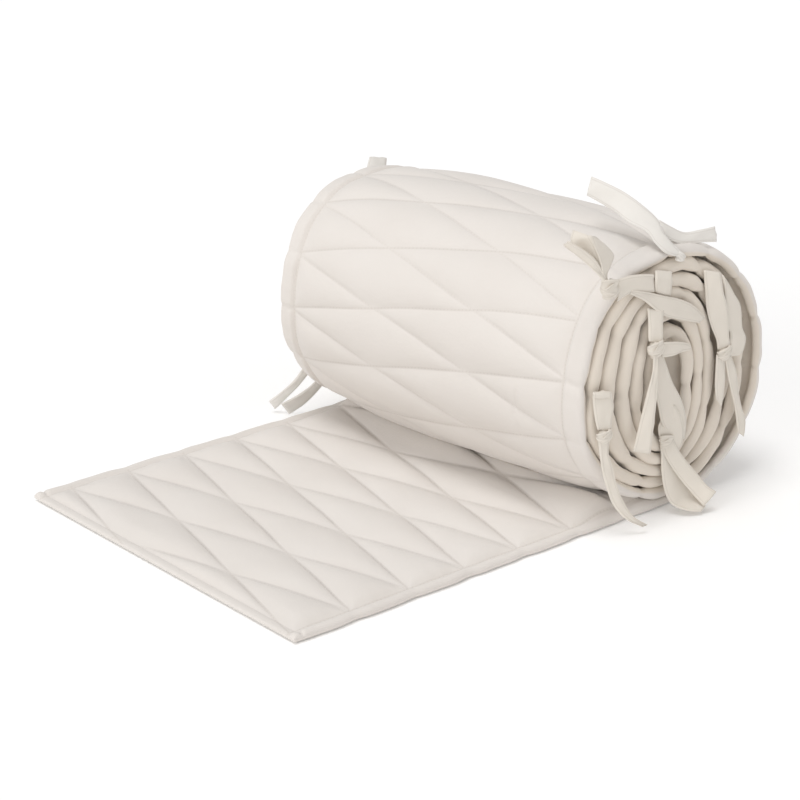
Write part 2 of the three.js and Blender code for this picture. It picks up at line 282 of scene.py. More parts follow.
# %% Placing a point of the cloth
PITCH = 50
ROLL_PITCH = 42
ROLL_START = 352
OUTER_LINE_END = 925
OUTER_END = ROLL_START + (OUTER_LINE_END - ROLL_START) * PITCH / ROLL_PITCH
STRIP_LENGTH = OUTER_END + LINE_LENGTH - OUTER_LINE_END
SEAMS_ASKEW = 10.5
ASKEW_REACH = 95
RIPPLE_REACH = 45
print(f"The strip is {STRIP_LENGTH:.0f} mm long and {STRIP_WIDTH} mm wide.")


def smooth(t):
    """A soft step from 0 to 1."""
    c = np.clip(t, 0, 1)
    return c * c * (3 - 2 * c)


def wander(a, b, size, seed):
    """Slow unevenness between -1 and 1, the same on every run."""
    total = 0
    for k in range(1, 5):
        turn = seed * 1.7 + k * 2.4
        wave = (a * math.sin(turn) + b * math.cos(turn)) * 6.28 / size * (0.6 + 0.25 * k)
        total = total + np.sin(wave + seed * 3.3 * k)
    return total / 4


def line_length(q, y):
    """The middle line's length at q mm of cloth, y mm in from the near edge."""
    s = np.interp(q, [0, ROLL_START, OUTER_END, STRIP_LENGTH],
                  [0, ROLL_START, OUTER_LINE_END, LINE_LENGTH])
    outside = smooth((s - 480) / 80) * (1 - smooth((s - 890) / 60))
    askew = SEAMS_ASKEW * (1 - np.exp(-y / ASKEW_REACH)) * outside
    loose = 0.8 * wander(q, y, 130, 11) * smooth((q - 10) / 30) * smooth((STRIP_LENGTH - q) / 30)
    return s - askew + loose


def directions(line, near=5):
    """The line's unit direction at each of its points, evened over its neighbours."""
    count = len(line)
    after = line[np.minimum(np.arange(count) + near, count - 1)]
    before = line[np.maximum(np.arange(count) - near, 0)]
    step = after - before
    return step / np.linalg.norm(step, axis=1)[:, None]


END_WAY = directions(END_LINE)
HALF_WAY = directions(HALF_LINE)


def along(table, s):
    """A table's columns at lengths s."""
    return np.stack([np.interp(s, RUN, column) for column in table.T], axis=-1)


def place(q, y, h, inward=0):
    """Points in mm: q along the cloth, y from its near edge, h off its middle."""
    q, y, h = np.broadcast_arrays(q, y, h)
    s = line_length(q, y)
    turn = np.interp(s, RUN, TURN_OF)
    edge = np.minimum(y, STRIP_WIDTH - y)
    ripple = wander(q, np.where(y > 150, 900, 0), 62, 21) * np.exp(-((edge / RIPPLE_REACH) ** 2))
    h = h + ripple * smooth((s - 420) / 80) * np.where(turn < 1, 0.6, 1.0)
    ends, halfway = along(END_LINE, s), along(HALF_LINE, s)
    end_way, half_way = along(END_WAY, s), along(HALF_WAY, s)
    across = y / STRIP_WIDTH
    half = 1 - np.abs(2 * across - 1) ** 3
    end_x, end_z = ends[..., 0] - end_way[..., 1] * h, ends[..., 1] + end_way[..., 0] * h
    half_x, half_z = halfway[..., 0] - half_way[..., 1] * h, halfway[..., 1] + half_way[..., 0] * h
    stand = np.interp(turn, np.arange(len(TURNS)), TURNS[:, 6])
    skew = ROLL_SKEW * across * smooth((s - SKEW_START) / SKEW_LENGTH)
    x = end_x + (half_x - end_x) * half - skew
    z = end_z + (half_z - end_z) * half
    inward = inward * np.where(y > STRIP_WIDTH / 2, -1, 1)
    return np.stack([x, NEAR_EDGE + y + inward - stand, z], axis=-1)


# %% [markdown]
# Quilting is two families of straight seams that cross in long diamonds. Cloth between two
# seams rises steeply beside the stitches and is nearly level in the middle. The seams could be
# a bump in the material, but real relief catches the light along every edge, so they are put
# in the mesh, whose own rows and columns follow the seams.

# %% The quilting's relief
FIRST_APEX = 2
HEM = 10
# A seam crosses the strip while it runs on by one pitch and a half, SLANT mm to each pitch.
SLANT = (STRIP_WIDTH - 2 * HEM) / 1.5
SEAM_REACH = PITCH / 2 * math.cos(math.atan(PITCH / SLANT))
TAIL_SEAM = 9
ROLL_SEAM = 17.5
END_SEAM = 7
SEAM_HALF = 1.1
PLAIN_HALF = 3.2
LEAST_HALF = 0.6
STEEPNESS = 2.6
HEM_STEEPNESS = 2.2
END_RADIUS = 3.2
ROLL_HEMS_START = 340


def seam_distance(q, y, sign):
    """Distance in mm to the nearest seam of one family."""
    count = (q - FIRST_APEX) / PITCH + sign * (y - HEM) / SLANT
    return np.abs(count - np.round(count)) * 2 * SEAM_REACH


def rise(distance, reach, power):
    """0 on a seam, 1 at reach mm from it, steep at first."""
    return 1 - (1 - np.clip(distance / reach, 0, 1)) ** power


def apex_offset(q, far):
    """Distance in mm along an edge to the nearest place where two seams meet it."""
    count = (q - FIRST_APEX) / PITCH - np.where(far, 0.5, 0)
    return (count - np.round(count)) * PITCH


def quilted(q, y, seam_in, puff):
    """Half the thickness where the cloth is quilted."""
    to_a, to_b = seam_distance(q, y, -1), seam_distance(q, y, 1)
    a, b = rise(to_a, SEAM_REACH, STEEPNESS), rise(to_b, SEAM_REACH, STEEPNESS)
    hem = rise(np.minimum(y, STRIP_WIDTH - y) - seam_in, 16, HEM_STEEPNESS)
    end = rise(q - END_SEAM, 14, HEM_STEEPNESS)
    lift = (a * b) ** 0.74 * hem * end * (1 + 0.13 * wander(q, y, 90, 3))
    near = np.minimum(to_a, to_b)
    puckers = 0.3 * wander(q, y, 10, 14) * np.exp(-near / 6) * (1 - np.exp(-near / 1.5))
    return SEAM_HALF + (puff - SEAM_HALF) * lift + puckers


def hem_tube(edge, seam_in, hem_half):
    """Half the thickness of the hem: a round tube, drawn in at its row of stitches."""
    round_edge = np.sqrt(np.clip(1 - (1 - np.clip(edge / hem_half, 0, 1)) ** 2, 0, 1))
    slope = 3 if seam_in == ROLL_SEAM else 5
    fall = smooth((edge - seam_in + slope) / slope)
    return hem_half * round_edge * (1 - fall) + SEAM_HALF * fall


def gathers(q, edge, far, seam_in):
    """Small folds that fan out from each place where two seams meet the hem."""
    aside, inside = apex_offset(q, far), np.maximum(edge - seam_in, 0)
    away = np.hypot(aside, inside)
    fan = np.cos(np.arctan2(aside, inside + 1.5) * 7)
    ruffle = wander(q, 0, 11, 5) * np.exp(-inside / 5)
    return 0.9 * fan * np.exp(-away / 8) * away / (away + 2) + 0.35 * ruffle


def half_thickness(q, y, seam_in, hem_half, puff, relief, plain_half=PLAIN_HALF):
    """Half the strip's thickness on one face."""
    edge, far = np.minimum(y, STRIP_WIDTH - y), y > STRIP_WIDTH / 2
    on_roll = q > ROLL_HEMS_START
    plain = SEAM_HALF + (plain_half - SEAM_HALF) * rise(edge - seam_in, 14, HEM_STEEPNESS)
    inside = plain + (quilted(q, y, seam_in, puff) - plain) * relief
    inside = inside + gathers(q, edge, far, seam_in) * smooth((edge - seam_in) / 2)
    wide, narrow = [np.exp(-((apex_offset(q, far) / reach) ** 2)) for reach in (7, 2.2)]
    pinched = (0.16 + 0.1 * wander(q, 0, 170, 17)) * wide + 0.2 * narrow * on_roll
    uneven = 0.07 * wander(q, 0, 31, 7) + 0.06 * wander(q, 0, 12, 9) * on_roll
    tube = hem_tube(edge, seam_in, hem_half) * (1 - pinched + uneven)
    h = np.where(edge < seam_in, tube, np.maximum(inside, LEAST_HALF))
    lip = np.minimum(q, STRIP_LENGTH - q)
    end_round = np.sqrt(np.clip(1 - (1 - np.clip(lip / END_RADIUS, 0, 1)) ** 2, 0, 1))
    end_groove = 1 - 0.6 * np.exp(-(((q - END_SEAM) / 1.3) ** 2))
    return h * end_round * end_groove


# %% [markdown]
# The mesh is made column by column along the strip. A face that shows has many rows and fine
# columns. A face that lies against its neighbour needs rows only near the hems, so most of the
# triangles go where they are seen.

# %% The strip's rows and columns
# The small creases on the roll, where it was squeezed: the place along and across the cloth,
# half the crease's length, its slant and its depth.
CREASES = [(887, 58.5, 13, 0.12, 0.8), (909, 56.8, 8, -0.1, 0.6), (938, 58, 9, -0.45, 0.7)]
CREASE_ROWS = [53.5, 55, 56.5, 59.5, 61, 62.5]
# With 48 rows to a seam's pitch and a half and 32 columns to a pitch, every seam runs exactly
# from corner to corner of the small cells.
PER_PITCH = 32
BETWEEN_HEMS = 48
FINE = PITCH / PER_PITCH
ROW = (STRIP_WIDTH - 2 * HEM) / BETWEEN_HEMS
HEM_ROWS = [0.3, 1, 2, 3.2, 4.6, 6.2, 7.6, 8.4, 9, 10]
BAND_ROWS = [11.4, 13, 14.6, 15.8, 16.6, 17.5, 18.4, 20]
LATTICE_ROWS = [HEM + ROW * j for j in range(1, BETWEEN_HEMS)]


def both_sides(near):
    """Rows near one edge, and the same rows near the other."""
    return near + [STRIP_WIDTH - y for y in reversed(near)]


def merged(*lists):
    """One sorted list of rows."""
    return sorted({round(y, 3) for rows in lists for y in rows})


TAIL_ROWS = merged(both_sides([*HEM_ROWS, 11, 12.2, 13.6, 15]), LATTICE_ROWS)
ROLL_ROWS = merged(both_sides(HEM_ROWS + BAND_ROWS), CREASE_ROWS,
                   [y for y in LATTICE_ROWS if 21 < y < 287])
PLAIN_ROWS = merged(both_sides(HEM_ROWS + BAND_ROWS + [26, 50, 100]))
FLAT_ROWS = merged(both_sides([0.3, 1, 2, 3.2, 6, 20, 80]))

# Where the tail's shown top and its flat underside end, and where the roll's outside starts.
TOP_END = 332
UNDER_END = 333
OUTER_START = 372
COARSE = 3

lengths = [0, 0.3, 1, 2, 3.2, 4.6, 5.6, 6.4, 7, 7.6, 8.6]
lengths += list(np.arange(FIRST_APEX + 5 * FINE, OUTER_END, FINE))
lengths += list(np.arange(lengths[-1] + COARSE, STRIP_LENGTH - 2 * COARSE, COARSE))
lengths += [STRIP_LENGTH - x for x in (3.2, 2, 1, 0.3, 0)]
print(f"{len(lengths)} columns; {len(TAIL_ROWS)} rows on the tail, {len(ROLL_ROWS)} on the roll")


# %% [markdown]
# Each face has its own thickness. The tail's top is full and quilted until the roll presses it
# flat. The roll's outside is quilted too, but drawn tighter. Faces between two turns fill the
# room up to the next turn, so that the layers lie on each other as soft cloth does.

# %% How thick each face is
TAIL_PUFF = 6.6
PRESSED_BY = 2.4
PRESS_START = 285
PRESS_LENGTH = 35
ROLL_PUFF = 4.2
UNDER_HALF = 3.5
TUCKED = 25
CREASE_HALF_WIDTH = 1.3


def filled(q, side, least, most, core=0):
    """Half the thickness that fills the space up to the next turn, and more in the core."""
    s = line_length(q, 0)
    most = most + core * smooth((s - LINE_LENGTH + 330) / 120)
    loft = np.clip(np.interp(s, RUN, ROOM[side]) - 0.2, least, most)
    return least + (loft - least) * smooth((s - 400) / 80)


def inner_half(q, y):
    """The inner face: the tail's top, then the inside of the roll."""
    pressed = smooth((q - PRESS_START) / PRESS_LENGTH)
    outermost = q < OUTER_END
    hem_half = filled(q, 1, 3.2, 5.4 if outermost else 7)
    plain_half = filled(q, 1, 3.2, 9 if outermost else 10, core=6)
    puff = TAIL_PUFF - PRESSED_BY * pressed
    relief = smooth((TOP_END - q) / 12)
    return half_thickness(q, y, TAIL_SEAM, hem_half, puff, relief, plain_half)


def outer_half(q, y):
    """The outer face: the tail's underside, then the outside of the roll."""
    relief = smooth((q - OUTER_START) / TUCKED) * smooth((OUTER_END - q) / TUCKED)
    under = smooth((q - OUTER_END + 30) / 30)
    hem_half = 3.8 + (filled(q, -1, 3.8, 7.6) - 3.8) * under
    plain_half = 3.2 + (filled(q, -1, 3.2, 11) - 3.2) * under
    h = half_thickness(q, y, ROLL_SEAM, hem_half, ROLL_PUFF, relief, plain_half)
    for at_q, at_y, reach, slant, depth in CREASES:
        aside = y - at_y - slant * (q - at_q)
        h = h - depth * np.exp(-((aside / CREASE_HALF_WIDTH) ** 2) - ((q - at_q) / reach) ** 4)
    edge = np.minimum(y, STRIP_WIDTH - y)
    rim = (1 - np.minimum(edge, q) / UNDER_HALF).clip(0, 1)
    flat = UNDER_HALF * np.sqrt(np.clip(1 - rim ** 2, 0, 1))
    return flat + (h - flat) * smooth((q - UNDER_END) / 20)


# %% [markdown]
# The roll lies on the tail and presses its wadding out to the side, so beside the roll the
# tail swells up against it and no open wedge is left between the two. The underside of the
# roll is worked out first, row by row, and the tail's top then rises as far as it may.

# %% The tail's swell beside the roll
MOST_SWELL = 10
SWELL_START = 256
SWELL_GROWS = 34
SWELL_EDGE = 18
SWELL_GAP = 0.3
FOOT_REACH = 170
FOOT_STEP = 1.5
foot_lengths = np.arange(OUTER_END - FOOT_REACH, OUTER_END + 20, FOOT_STEP)
foot_places = np.meshgrid(foot_lengths, TAIL_ROWS, indexing="ij")
ROLL_FOOT = place(*foot_places, -outer_half(*foot_places))


def swell(q, y, h):
    """How far the tail's top rises in the rows of one column."""
    tops = place(q, y, h)
    feet = [np.interp(top[0], ROLL_FOOT[:, j, 0], ROLL_FOOT[:, j, 2], left=99)
            for j, top in enumerate(tops)]
    free = np.array(feet) - tops[:, 2] - SWELL_GAP
    to_a, to_b = seam_distance(q, y, -1), seam_distance(q, y, 1)
    soft = rise(to_a, SEAM_REACH, STEEPNESS) * rise(to_b, SEAM_REACH, STEEPNESS)
    grown = smooth((q - SWELL_START) / SWELL_GROWS)
    edge = np.minimum(y, STRIP_WIDTH - y)
    most = MOST_SWELL * grown * (0.65 + 0.35 * soft) * smooth(edge / SWELL_EDGE)
    return np.clip(free, 0, most)


# %% [markdown]
# Now the points and faces. Both faces share one row of points along each edge, so the hem is a
# closed tube and no seam gapes. The triangles' diagonals lie along the quilting seams, which
# keeps each seam one clean crease.

# %% Triangles along the seams
def rises(step, y):
    """Whether a cell's diagonal runs with the seams that rise along the strip."""
    j, half = round((y - HEM) / ROW), PER_PITCH // 2
    to_rising = abs((step - j + half) % PER_PITCH - half)
    to_falling = abs((step + 1 + j + half) % PER_PITCH - half)
    return to_rising < to_falling


def bridged(a, b, ya, yb, step):
    """Triangles between two neighbouring chains of points."""
    out = []
    i = k = 0
    while i < len(a) - 1 or k < len(b) - 1:
        paired = i < len(a) - 1 and k < len(b) - 1 and ya[i] == yb[k] and ya[i + 1] == yb[k + 1]
        if paired:
            if rises(step, ya[i]):
                out += [(a[i], b[k], b[k + 1]), (a[i], b[k + 1], a[i + 1])]
            else:
                out += [(a[i], b[k], a[i + 1]), (b[k], b[k + 1], a[i + 1])]
            i += 1
            k += 1
        elif k == len(b) - 1 or (i < len(a) - 1 and ya[i + 1] <= yb[k + 1]):
            out.append((a[i], b[k], a[i + 1]))
            i += 1
        else:
            out.append((a[i], b[k], b[k + 1]))
            k += 1
    return out


# %% [markdown]
# Points are added a chain at a time, and each keeps its place on the cloth, how near it is to a
# seam that shows, for its stitches and painted seam shade, and how far it lies between the
# layers, for the painted shade there. The hem is drawn in a little where two seams meet it,
# which gives the strip its softly waved edges.

# %% The strip's points
# How far the stitches and the painted seam shade reach from a seam, and how much less the roll
# takes.
ROLL_STITCH_AND_SHADE = 0.55
STITCH_AND_SHADE_FADE = 2.2
points, on_cloth, creases, layer_shades = [], [], [], []


def add_points(q, y, h, seam_in=None, inside=0):
    """Adds placed points, keeps where they are on the cloth, and returns their numbers."""
    q, y, h = [np.atleast_1d(v).astype(float) for v in np.broadcast_arrays(q, y, h)]
    edge, far = np.minimum(y, STRIP_WIDTH - y), y > STRIP_WIDTH / 2
    near_apex = np.exp(-((apex_offset(q, far) / 8) ** 2))
    drawn_in = np.where(far, 0.5, 1.3)
    inward = drawn_in * near_apex + 0.5 + 0.5 * wander(q, 0, 40, 8)
    inward = inward * np.clip(1 - edge / 14, 0, 1)
    first = len(points)
    points.extend(place(q, y, h, inward))
    on_cloth.extend(np.stack([q, y, 0 * y], axis=-1))
    # Near a seam that shows: the mask for its stitches and its painted shade.
    crease = np.zeros(len(y))
    if seam_in is not None:
        near = np.minimum(seam_distance(q, y, -1), seam_distance(q, y, 1))
        near = np.where(edge < seam_in, seam_in - edge, np.minimum(near, edge - seam_in))
        crease = np.exp(-near / STITCH_AND_SHADE_FADE) * (1 if seam_in == TAIL_SEAM else ROLL_STITCH_AND_SHADE)
    creases.extend(crease)
    # How much painted shade between the layers this chain takes: darker, warmer cloth.
    layer_shades.extend(np.full(len(y), float(max(inside, smooth((q[0] - OUTER_END + 20) / 40)))))
    return list(range(first, first + len(q)))


def rows_at(q, side):
    """The rows of one face at a length along the cloth."""
    if side > 0:
        return TAIL_ROWS if q < TOP_END else PLAIN_ROWS
    if q < UNDER_END:
        return FLAT_ROWS
    return ROLL_ROWS if OUTER_START < q < OUTER_END else PLAIN_ROWS


columns = []
for q in lengths:
    near, far = add_points([q, q], [0, STRIP_WIDTH], 0)
    column = {"q": q}
    if q in (0, STRIP_LENGTH):
        rows = rows_at(q, 1)
        chain = [near, *add_points(q, np.array(rows), 0), far]
        column[1] = column[-1] = (chain, [0, *rows, STRIP_WIDTH])
    else:
        for side, half, seam_in in ((1, inner_half, TAIL_SEAM), (-1, outer_half, ROLL_SEAM)):
            rows = rows_at(q, side)
            y = np.array(rows)
            shows = q < TOP_END if side > 0 else OUTER_START < q < OUTER_END
            # The roll's inner faces take the painted shade between the layers.
            inside = smooth((q - 400) / 60) if side > 0 else 0
            h = half(q, y)
            if side > 0 and SWELL_START < q < TOP_END:
                h = h + swell(q, y, h)
            chain = add_points(q, y, side * h, seam_in if shows else None, inside)
            column[side] = ([near, *chain, far], [0, *rows, STRIP_WIDTH])
    columns.append(column)


# %% [markdown]
# Neighbouring columns are joined on both faces, and the mesh carries the three things that each
# point keeps. The outer face's triangles are turned round, so that they too face outwards.

# %% The strip's mesh
triangles = []
for a, b in zip(columns, columns[1:]):
    step = round((a["q"] - FIRST_APEX) / FINE)
    inner = bridged(a[1][0], b[1][0], a[1][1], b[1][1], step)
    outer = bridged(a[-1][0], b[-1][0], a[-1][1], b[-1][1], step)
    triangles += inner + [(p, r, q) for p, q, r in outer]

mesh = bpy.data.meshes.new("quilted_strip_cloth")
mesh.from_pydata(((np.array(points) + TO_PART) * MM).tolist(), [], triangles)
mesh.update()
mesh.attributes.new("cloth", "FLOAT_VECTOR", "POINT").data.foreach_set(
    "vector", (np.array(on_cloth) * MM).ravel()
)
# Where the stitches and the painted seam shade show.
mesh.attributes.new("crease", "FLOAT", "POINT").data.foreach_set("value", np.array(creases))
# The painted shade between the layers, for each point.
mesh.attributes.new("inside", "FLOAT", "POINT").data.foreach_set("value", np.array(layer_shades))
mesh.polygons.foreach_set("use_smooth", [True] * len(mesh.polygons))
strip = bpy.data.objects.new("quilted_strip_cloth", mesh)
bpy.context.collection.objects.link(strip)
print(f"strip: {len(mesh.vertices)} points, {len(mesh.polygons)} triangles")


# %% [markdown]
# Woven cotton: a matt plain weave of thin yarns, off-white and a little warm. The eye reads it
# by its soft sheen at glancing angles, its tiny grain, and slow changes of tone. A plain weave
# has about 2.5 yarns to the millimetre, too fine to show from here, so the weave is drawn
# at 1.2 mm. It follows the strip's own length and width, which the mesh carries. The stitches
# are drawn from the same lengths: a dash of thread every 3.4 mm along each seam, with painted
# shade along the seam's fine furrow. Between the layers, where light goes from cloth to cloth,
# the colour is painted a little darker and warmer: painted shade and painted bounced light. The
# ties have the same cloth, with one row of stitches near each rim and painted shade along it.

# %% Distances as shader nodes
WEAVE = 1.2 * MM
STITCH = 3.4 * MM
THREAD = 0.55
FURROW = 2.2 * THREAD
RIM = 1.6
# Painted shade for the seams' furrows and for the tapes' rows of stitches.
FURROW_SHADE = "A89C90"
THREAD_TINT = "EFEAE4"


def math_node(tree, operation, a, b=0.0, c=0.0):
    """One sum on numbers or sockets."""
    return add(tree, "ShaderNodeMath", {0: a, 1: b, 2: c}, operation=operation).outputs[0]


def mixed(tree, factor, a, b):
    """A mix of two colours."""
    node = add(tree, "ShaderNodeMix", {"Factor": factor, 6: a, 7: b}, data_type="RGBA")
    return node.outputs[2]


def hem_distance_nodes(tree, x, y):
    """Millimetres to the hem's row of stitches."""
    on_roll = math_node(tree, "GREATER_THAN", x, ROLL_START * MM)
    seam = math_node(tree, "MULTIPLY_ADD", on_roll, ROLL_SEAM - TAIL_SEAM, TAIL_SEAM)
    other = math_node(tree, "SUBTRACT", STRIP_WIDTH * MM, y)
    edge = math_node(tree, "MULTIPLY", math_node(tree, "MINIMUM", y, other), 1 / MM)
    return math_node(tree, "ABSOLUTE", math_node(tree, "SUBTRACT", edge, seam))


def seam_distance_nodes(tree, x, y):
    """Millimetres to the seams of each family, from the place on the cloth in metres."""
    along_strip = math_node(tree, "MULTIPLY_ADD", x, 1 / (PITCH * MM), -FIRST_APEX / PITCH)
    families = []
    for sign in (1, -1):
        count = math_node(tree, "MULTIPLY_ADD", y, sign / (SLANT * MM), along_strip)
        count = math_node(tree, "ADD", count, -sign * HEM / SLANT)
        to_seam = math_node(tree, "PINGPONG", count, 0.5)
        families.append(math_node(tree, "MULTIPLY", to_seam, 2 * SEAM_REACH))
    return families


# %% [markdown]
# The stitches: each kind takes the cloth's tone and height, and gives both back with its own
# row of stitches drawn in, and painted shade darkening the cloth along that row. A dash is a
# length of thread with a gap of about a seventh of a stitch at each end of it.

# %% The stitches
def rim_stitches(tree, from_rim, tone, height):
    """One row of stitches beside a tape's rim: a bumped groove with painted shade along it."""
    rim = math_node(tree, "MULTIPLY_ADD", from_rim, 1 / MM, -RIM)
    rim = math_node(tree, "MULTIPLY_ADD", math_node(tree, "ABSOLUTE", rim), -1 / THREAD, 1.0)
    rim = math_node(tree, "MAXIMUM", rim, 0.0)
    # Painted shade along the row of stitches; the groove itself is the bump below.
    tone = mixed(tree, math_node(tree, "MULTIPLY", rim, 0.2), tone, colour(FURROW_SHADE))
    return tone, math_node(tree, "MULTIPLY_ADD", rim, -0.8, height)


def quilt_stitches(tree, x, y, tone, height):
    """Dashes of thread along the quilting seams and the hem, each row in a band of painted shade.
    """
    crease = add(tree, "ShaderNodeAttribute", attribute_name="crease").outputs["Fac"]
    families = seam_distance_nodes(tree, x, y)
    hem = hem_distance_nodes(tree, x, y)
    distance = math_node(tree, "MINIMUM", *families)
    shown = math_node(tree, "GREATER_THAN", crease, 0.3)
    furrows = []
    # One seam family gets about half the painted shade of the other, as the key light falls across
    # them.
    for family, depth in zip(families, (0.55, 1.0)):
        furrow = math_node(tree, "MULTIPLY_ADD", family, -1 / FURROW, 1.0)
        furrow = math_node(tree, "MAXIMUM", furrow, 0.0)
        furrows.append(math_node(tree, "MULTIPLY", furrow, depth))
    hem_furrow = math_node(tree, "MULTIPLY_ADD", hem, -1 / FURROW, 1.0)
    furrow = math_node(tree, "MAXIMUM", math_node(tree, "MAXIMUM", *furrows), hem_furrow)
    furrow = math_node(tree, "MULTIPLY", furrow, shown)
    threads = []
    for gap, run in ((distance, y), (hem, x)):
        dash = math_node(tree, "PINGPONG", run, STITCH / 2)
        dash = math_node(tree, "GREATER_THAN", dash, 0.14 * STITCH)
        line = math_node(tree, "LESS_THAN", gap, THREAD)
        threads.append(math_node(tree, "MULTIPLY", line, dash))
    thread = math_node(tree, "MULTIPLY", math_node(tree, "MAXIMUM", *threads), shown)
    # Painted shade in the furrows along the seams and the hem.
    tone = mixed(tree, math_node(tree, "MULTIPLY", furrow, 0.27), tone, colour(FURROW_SHADE))
    tone = mixed(tree, math_node(tree, "MULTIPLY", thread, 0.22), tone, colour(THREAD_TINT))
    return tone, math_node(tree, "MULTIPLY_ADD", thread, 0.9, height)


# %% [markdown]
# The cotton itself: three sizes of soft noise for its tone and its crumples, the weave as a
# fine bump, and a low sheen. The strip and the ties have the same cloth in slightly different
# tones.

# %% The woven cotton
def woven_cotton(name, base, shade, deep, quilt):
    """A matt cotton whose weave follows the cloth, with the quilting's stitches if asked."""
    material, tree, output = new_material(name)
    where = add(tree, "ShaderNodeAttribute", attribute_name="cloth").outputs["Vector"]
    apart = add(tree, "ShaderNodeSeparateXYZ", {0: where})
    x, y = apart.outputs["X"], apart.outputs["Y"]
    yarns = [math_node(tree, "SINE", math_node(tree, "MULTIPLY", axis, 2 * math.pi / WEAVE))
             for axis in (x, y)]
    weave = math_node(tree, "MULTIPLY", *yarns)
    place_in = add(tree, "ShaderNodeTexCoord").outputs["Object"]
    slow = add(tree, "ShaderNodeTexNoise", {"Vector": place_in, "Scale": 18.0, "Detail": 3.0})
    fine = add(tree, "ShaderNodeTexNoise", {"Vector": place_in, "Scale": 420.0, "Detail": 2.0})
    soft = add(tree, "ShaderNodeTexNoise", {"Vector": place_in, "Scale": 90.0, "Detail": 3.0})
    inside = add(tree, "ShaderNodeAttribute", attribute_name="inside").outputs["Fac"]
    tone = mixed(tree, slow.outputs["Fac"], colour(base), colour(shade))
    # Painted shade between the layers: a darker, warmer tone where light goes from cloth to cloth.
    tone = mixed(tree, inside, tone, colour(deep))
    height = math_node(tree, "MULTIPLY_ADD", soft.outputs["Fac"], 0.5, fine.outputs["Fac"])
    if quilt:
        tone, height = quilt_stitches(tree, x, y, tone, height)
    else:
        tone, height = rim_stitches(tree, apart.outputs["Z"], tone, height)
    crumple = add(
        tree, "ShaderNodeBump", {"Strength": 0.3, "Distance": 0.45 * MM, "Height": height},
    )
    bump = add(
        tree, "ShaderNodeBump",
        {"Strength": 0.2, "Distance": 0.12 * MM, "Height": weave,
         "Normal": crumple.outputs["Normal"]},
    )
    cotton = add(
        tree, "ShaderNodeBsdfPrincipled",
        {"Base Color": tone, "Roughness": 0.92, "Specular IOR Level": 0.25,
         "Sheen Weight": 0.25, "Sheen Roughness": 0.45, "Normal": bump.outputs["Normal"]},
    )
    tree.links.new(cotton.outputs["BSDF"], output.inputs["Surface"])
    return material


# Each cotton's third colour is its painted shade between the layers.
quilt_cotton = woven_cotton("quilted woven cotton", "E4DFDA", "DED8D2", "E1D8CC", True)
tie_cotton = woven_cotton("woven cotton tape", "EAE7E2", "E4E0DA", "E0D8CC", False)
strip.data.materials.append(quilt_cotton)
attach(strip, "root")
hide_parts("quilted_strip")


# %% [markdown]
# The ties are narrow tapes of the same cotton, sewn to the strip's edges and knotted. A tape
# could be a curve with a flat bevel, but a curve gives little say in how it turns over. So each
# tape is two edges: a table keeps where both are at each of a few places, and the cloth is
# drawn between them with a low crown, a stitched rim and a real thickness.

